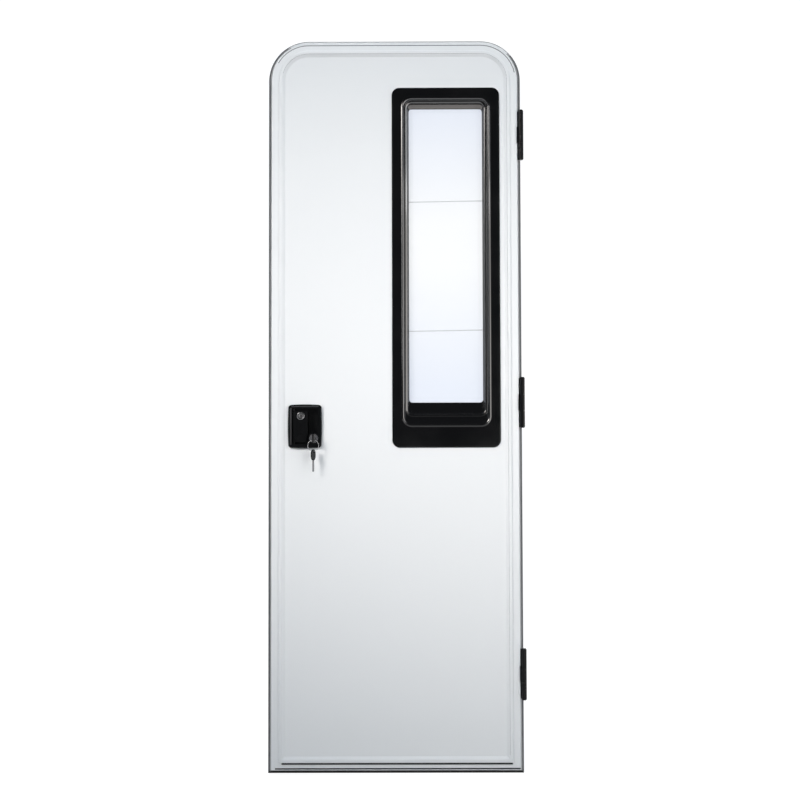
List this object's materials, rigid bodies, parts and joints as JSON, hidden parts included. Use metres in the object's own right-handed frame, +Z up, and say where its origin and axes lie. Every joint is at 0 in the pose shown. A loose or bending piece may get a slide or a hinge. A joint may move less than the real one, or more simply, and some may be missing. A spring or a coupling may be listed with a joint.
{
  "type": "caravan entry door",
  "caption": "White caravan entry door with rounded top corners in an aluminium frame, with a tall black-framed window, outside hinges, and a recessed paddle lock with keys.",
  "frame": {"origin": "middle of the frame's bottom edge, on the back face of the frame's flange, which lies on the caravan's outer wall", "axes": "+Z up, +Y indoors, +X to the right as seen from outdoors, so the hinges are at +X"},
  "size_m": [0.637, 0.1055, 1.82],
  "materials": {
    "white_coat": "satin",
    "white_skin": "gloss",
    "grey_aluminium": "satin",
    "black_moulding": "gloss",
    "black_paint": "satin",
    "foam": "matte",
    "seal_rubber": "matte",
    "acrylic": "gloss",
    "white_cloth": "matte",
    "bright_steel": "polished",
    "steel": "brushed",
    "black_plastic": "matte"
  },
  "bodies": {
    "frame": {"frame_left_jamb": "grey_aluminium", "frame_right_jamb": "grey_aluminium", "frame_head": "grey_aluminium", "frame_left_bend": "grey_aluminium", "frame_right_bend": "grey_aluminium", "frame_sill": "grey_aluminium", "frame_seal": "seal_rubber", "strike_plate": "steel", "hinge_lower_frame_plate": "black_paint", "hinge_lower_pin": "black_paint", "hinge_middle_frame_plate": "black_paint", "hinge_middle_pin": "black_paint", "hinge_upper_frame_plate": "black_paint", "hinge_upper_pin": "black_paint"},
    "leaf": {"hinge_lower_leaf_plate": "black_paint", "hinge_middle_leaf_plate": "black_paint", "hinge_upper_leaf_plate": "black_paint", "leaf_left_stile": "white_coat", "leaf_right_stile": "white_coat", "leaf_top_rail": "white_coat", "leaf_left_bend": "white_coat", "leaf_right_bend": "white_coat", "leaf_bottom_rail": "white_coat", "outer_skin": "white_skin", "leaf_core": "foam", "inner_skin": "white_skin", "window_surround": "black_moulding", "window_pane": "acrylic", "window_blind": "white_cloth", "window_inner_trim": "black_moulding", "lock_bezel": "black_moulding", "paddle_pin": "steel", "deadbolt_cylinder": "bright_steel", "latch_plate": "steel", "lock_bolts": "steel", "inside_lock_plate": "black_moulding", "inside_lever": "black_moulding"},
    "paddle": {"paddle": "black_moulding", "paddle_cylinder": "bright_steel"},
    "key": {"key_plug": "bright_steel", "key_blade": "steel", "key_head": "black_plastic", "key_ring": "bright_steel"},
    "spare_key": {"spare_key_head": "black_plastic", "spare_key_blade": "steel"}
  },
  "joints": [
    {"name": "leaf_swing", "type": "hinge", "parent": "frame", "child": "leaf", "pos_m": [0.3155, -0.012, 0.91], "axis": [0, 0, 1], "range_deg": [0, 170]},
    {"name": "paddle_pull", "type": "hinge", "parent": "leaf", "child": "paddle", "pos_m": [-0.2505, -0.0135, 0.8525], "axis": [0, 0, -1], "range_deg": [0, 32], "stiffness_Nm_per_rad": 0.4},
    {"name": "key_turn", "type": "hinge", "parent": "leaf", "child": "key", "pos_m": [-0.2015, -0.02, 0.8225], "axis": [0, -1, 0], "range_deg": [0, 90]},
    {"name": "spare_key_hang", "type": "hinge", "parent": "key", "child": "spare_key", "pos_m": [-0.2015, -0.035, 0.80485], "axis": [0, -1, 0], "range_deg": [-90, 0]}
  ],
  "couplings": [
    {"joint": "spare_key_hang", "follows": "key_turn", "ratio": -1}
  ]
}
